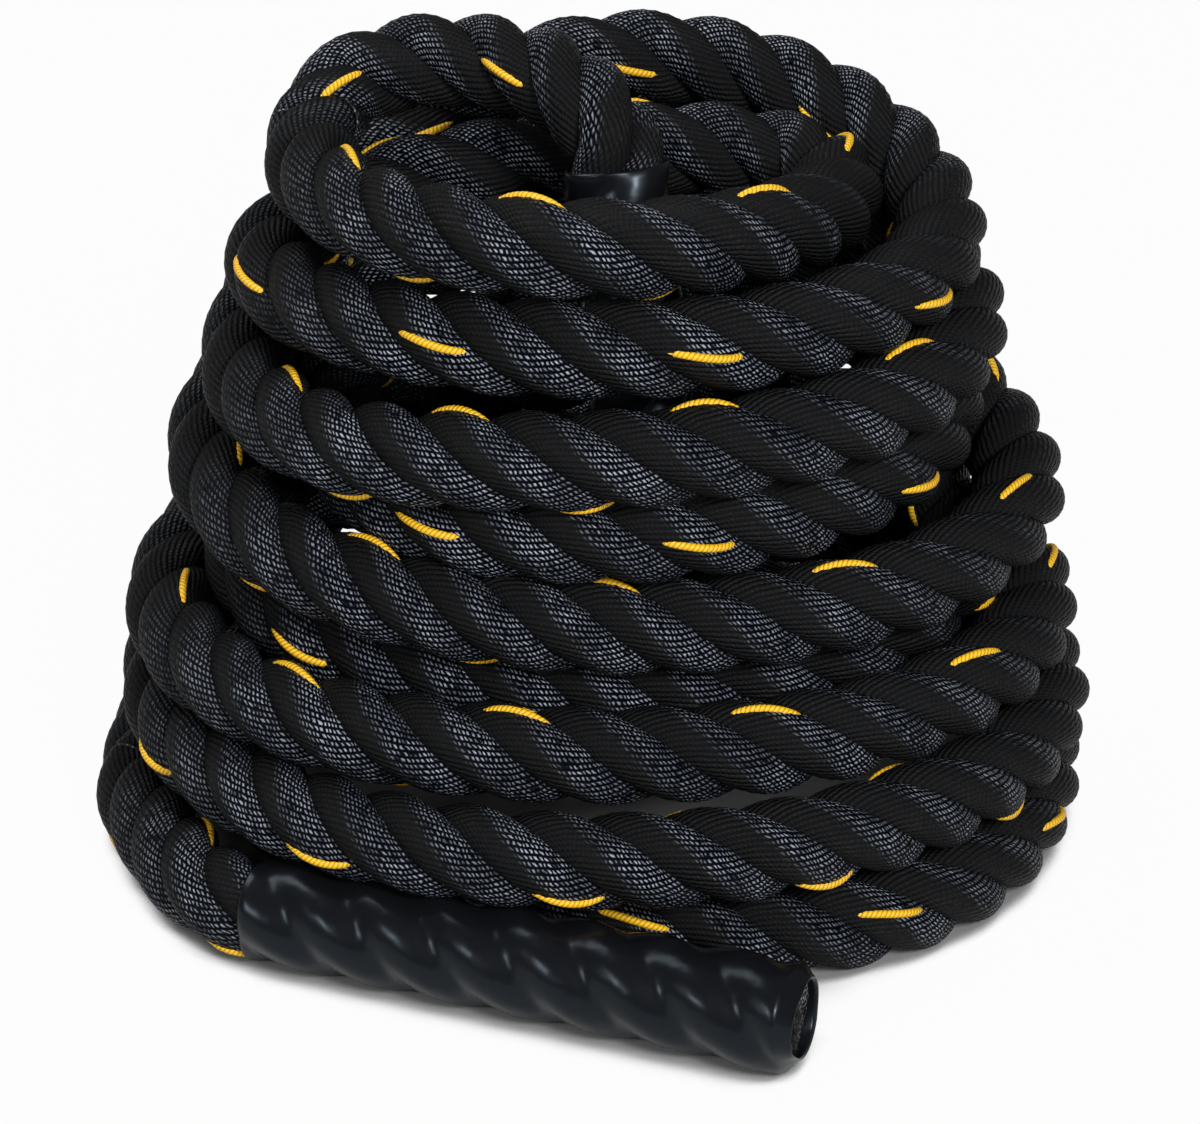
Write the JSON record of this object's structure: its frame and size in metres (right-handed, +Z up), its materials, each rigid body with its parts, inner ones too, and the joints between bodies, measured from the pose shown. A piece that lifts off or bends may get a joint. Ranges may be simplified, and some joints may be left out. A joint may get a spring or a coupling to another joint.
{
  "type": "battle rope",
  "caption": "Black laid battle rope coiled in a tall open heap, with a twisted shrink sleeve handle on each end, one on the floor and one hanging in the core.",
  "frame": {"origin": "centre of the bounding box, on the floor that the heap stands on", "axes": "+Z up; the lower handle lies along the front, which faces -Y, with its open end to +X"},
  "size_m": [0.4022, 0.413, 0.3248],
  "materials": {
    "rope": "matt twisted polyester yarn with a faint sheen",
    "sleeve": "glossy shrunk plastic"
  },
  "bodies": {
    "heap": {"rope_coil": "rope"},
    "lower_handle": {"lower_rope_end": "rope", "lower_sleeve": "sleeve", "lower_strand_1": "rope", "lower_strand_2": "rope", "lower_strand_3": "rope"},
    "upper_handle": {"upper_rope_end": "rope", "upper_sleeve": "sleeve", "upper_strand_1": "rope", "upper_strand_2": "rope", "upper_strand_3": "rope"}
  },
  "joints": [
    {"name": "lower_handle_swing", "type": "hinge", "parent": "heap", "child": "lower_handle", "pos_m": [-0.20111, 0.00118, 0.01368], "axis": [0, 0, -1], "range_deg": [0, 35]},
    {"name": "upper_handle_lift", "type": "slide", "parent": "heap", "child": "upper_handle", "axis": [0, 0, 1], "range_m": [0, 0.06]}
  ]
}
